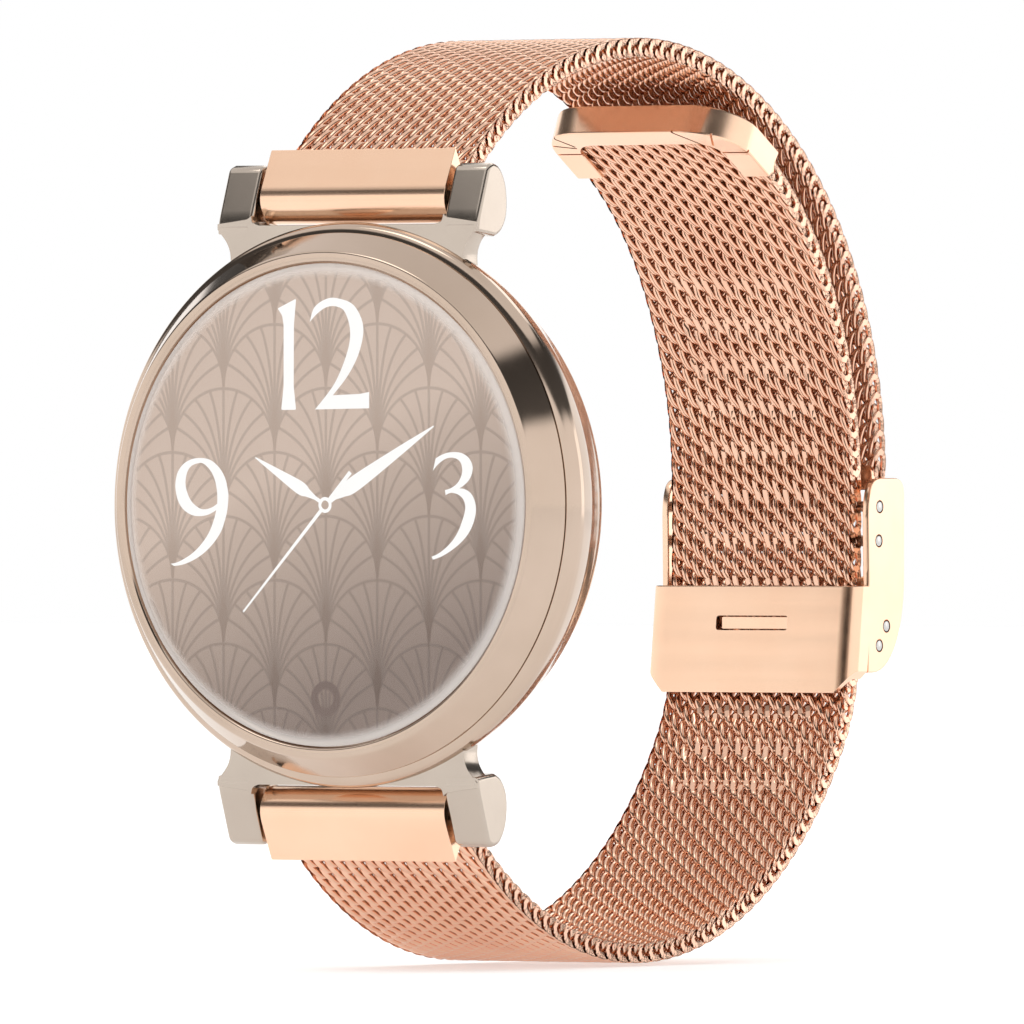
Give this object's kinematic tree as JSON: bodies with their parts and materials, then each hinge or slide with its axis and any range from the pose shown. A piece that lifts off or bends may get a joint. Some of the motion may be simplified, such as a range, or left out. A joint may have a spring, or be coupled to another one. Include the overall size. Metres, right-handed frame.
{
  "type": "round smartwatch on a woven metal strap",
  "caption": "Round touch-screen smartwatch with a polished case, T-shaped lugs and a woven metal strap that closes in a loop with a sliding hook clasp.",
  "frame": {"origin": "centre of the flat window in the case back, where the watch rests on the wrist", "axes": "+Y out of the case back into the wrist (the dial faces -Y), +Z to 12 o'clock, +X to 3 o'clock"},
  "size_m": [0.0354, 0.0547, 0.0586],
  "materials": {
    "case_metal": "polished champagne plating",
    "back_metal": "fine brushed champagne steel",
    "rose_metal": "polished rose gold plating",
    "rose_mesh": "woven rose gold wire",
    "steel": "bare steel",
    "contact_gold": "gold plated",
    "glass": "clear",
    "display": "lit display",
    "window": "dark glossy window",
    "seal": "soft seal",
    "circuit": "circuit board"
  },
  "bodies": {
    "watch_head": {"case_body": "case_metal", "bezel_ring": "case_metal", "lens": "glass", "lens_gasket": "seal", "display_panel": "display", "display_bracket": "steel", "main_board": "circuit", "battery": "steel", "haptic_motor": "steel", "sensor_board": "circuit", "back_seal": "seal", "back_cover": "back_metal", "sensor_window": "window", "back_screw_1": "steel", "back_screw_2": "steel", "back_screw_3": "steel", "back_screw_4": "steel", "charge_contact_1": "contact_gold", "charge_contact_2": "contact_gold", "charge_contact_3": "contact_gold", "charge_contact_4": "contact_gold"},
    "top_strap": {"top_end_link": "rose_metal", "top_bar_tube": "steel", "top_bar_fixed_pin": "steel", "top_bar_spring": "steel", "top_mesh_band": "rose_mesh", "top_hook_link": "rose_metal"},
    "top_release": {"top_release_pin": "steel"},
    "bottom_strap": {"bottom_end_link": "rose_metal", "bottom_bar_tube": "steel", "bottom_bar_fixed_pin": "steel", "bottom_bar_spring": "steel", "bottom_mesh_band": "rose_mesh", "band_tip_cap": "rose_metal"},
    "bottom_release": {"bottom_release_pin": "steel"},
    "clasp": {"clasp_body": "rose_metal", "clasp_hook_pin": "rose_metal", "clasp_stop_pin": "rose_metal", "clasp_lid_pin": "rose_metal", "clasp_guide_pin": "rose_metal"},
    "lid": {"clasp_lid": "rose_metal"}
  },
  "joints": [
    {"name": "top_strap_hinge", "type": "hinge", "parent": "watch_head", "child": "top_strap", "pos_m": [0, -0.0051, 0.0192], "axis": [1, 0, 0], "range_deg": [0, 50]},
    {"name": "bottom_strap_hinge", "type": "hinge", "parent": "watch_head", "child": "bottom_strap", "pos_m": [0, -0.0051, -0.0192], "axis": [1, 0, 0], "range_deg": [0, 2]},
    {"name": "clasp_slide", "type": "slide", "parent": "bottom_strap", "child": "clasp", "axis": [0, 0, 1], "range_m": [0, 0.00285]},
    {"name": "clasp_lid_hinge", "type": "hinge", "parent": "clasp", "child": "lid", "pos_m": [0, 0.0425, -0.0078], "axis": [-1, 0, 0], "range_deg": [0, 100]},
    {"name": "top_release_slide", "type": "slide", "parent": "top_strap", "child": "top_release", "axis": [-1, 0, 0], "range_m": [0, 0.0013], "stiffness_N_per_m": 400, "deforming": ["top_bar_spring"]},
    {"name": "bottom_release_slide", "type": "slide", "parent": "bottom_strap", "child": "bottom_release", "axis": [-1, 0, 0], "range_m": [0, 0.0013], "stiffness_N_per_m": 400, "deforming": ["bottom_bar_spring"]}
  ]
}
